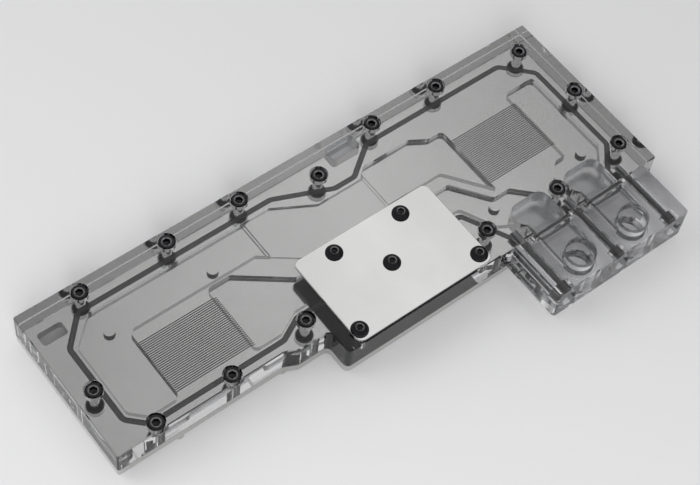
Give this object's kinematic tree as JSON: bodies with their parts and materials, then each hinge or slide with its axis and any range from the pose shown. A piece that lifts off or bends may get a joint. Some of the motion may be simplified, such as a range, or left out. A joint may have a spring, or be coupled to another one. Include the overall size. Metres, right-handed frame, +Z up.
{
  "type": "graphics card water block",
  "caption": "Full-length graphics card water block: finned nickel-plated plate, clear acrylic top with milled water passages, mirror cover plate and a clear terminal block with hose ports.",
  "frame": {"origin": "centre of the bounding box in plan, at the feet of the standoffs", "axes": "+X along the block's long edges towards the end with the terminal block, +Y away from the terminal block's front face, +Z up out of the clear top"},
  "size_m": [0.267, 0.1178, 0.0222],
  "materials": {
    "nickel_plate": "bright nickel plate over machined copper",
    "clear_acrylic": "polished clear cast acrylic",
    "black_rubber": "smooth black nitrile",
    "mirror_steel": "mirror polished stainless steel",
    "dark_screw_steel": "black nickel plated steel"
  },
  "bodies": {
    "root": {"cold_plate": "nickel_plate", "clear_top": "clear_acrylic", "perimeter_seal": "black_rubber", "terminal_block": "clear_acrylic", "duct_seal_1": "black_rubber", "duct_seal_2": "black_rubber", "cover_plate": "mirror_steel", "cover_screw_1": "dark_screw_steel", "cover_screw_2": "dark_screw_steel", "cover_screw_3": "dark_screw_steel", "cover_screw_4": "dark_screw_steel", "cover_screw_5": "dark_screw_steel", "top_screw_01": "dark_screw_steel", "top_screw_02": "dark_screw_steel", "top_screw_03": "dark_screw_steel", "top_screw_04": "dark_screw_steel", "top_screw_05": "dark_screw_steel", "top_screw_06": "dark_screw_steel", "top_screw_07": "dark_screw_steel", "top_screw_08": "dark_screw_steel", "top_screw_09": "dark_screw_steel", "top_screw_10": "dark_screw_steel", "top_screw_11": "dark_screw_steel", "top_screw_12": "dark_screw_steel", "top_screw_13": "dark_screw_steel", "top_screw_14": "dark_screw_steel", "top_screw_15": "dark_screw_steel", "terminal_screw_1": "dark_screw_steel", "terminal_screw_2": "dark_screw_steel", "terminal_screw_3": "dark_screw_steel"}
  },
  "joints": []
}
